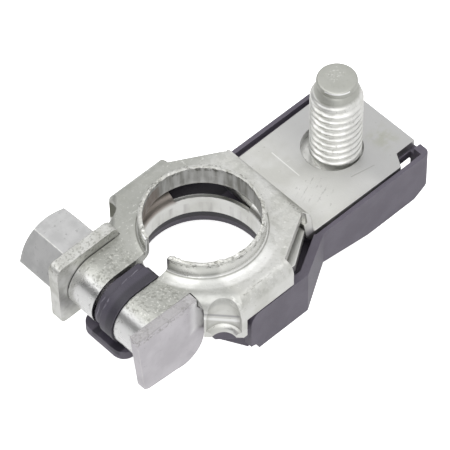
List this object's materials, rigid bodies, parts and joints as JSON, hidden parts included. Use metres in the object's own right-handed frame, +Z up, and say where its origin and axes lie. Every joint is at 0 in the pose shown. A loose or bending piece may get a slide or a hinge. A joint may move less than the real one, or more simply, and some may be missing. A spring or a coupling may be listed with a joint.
{
  "type": "battery terminal clamp",
  "caption": "Folded sheet-metal post clamp with a cross bolt, a tab carrying an upright threaded stud, and a plastic insulating carrier underneath.",
  "frame": {"origin": "axis of the post bore, at the rim of the upper collar", "axes": "+X from the bore towards the connecting stud, +Y along the clamp bolt towards its nut, +Z up along the bore axis"},
  "size_m": [0.0578, 0.031, 0.0244],
  "materials": {
    "sheet_metal": "satin",
    "fastener_steel": "satin",
    "carrier_plastic": "matte"
  },
  "bodies": {
    "root": {"clamp_body": "sheet_metal", "clamp_bolt": "fastener_steel", "stud_bolt": "fastener_steel", "insulator_carrier": "carrier_plastic"},
    "washer": {"plate_washer": "fastener_steel"},
    "nut": {"clamp_nut": "fastener_steel"}
  },
  "joints": [
    {"name": "washer_travel", "type": "slide", "parent": "root", "child": "washer", "axis": [0, 1, 0], "range_m": [0, 0.003]},
    {"name": "nut_turn", "type": "hinge", "parent": "washer", "child": "nut", "pos_m": [-0.01515, 0.0125, -0.00748], "axis": [0, 1, 0], "range_deg": [0, 1080]}
  ],
  "couplings": [
    {"joint": "nut_turn", "follows": "washer_travel", "rad_per_m": 6283.2}
  ]
}
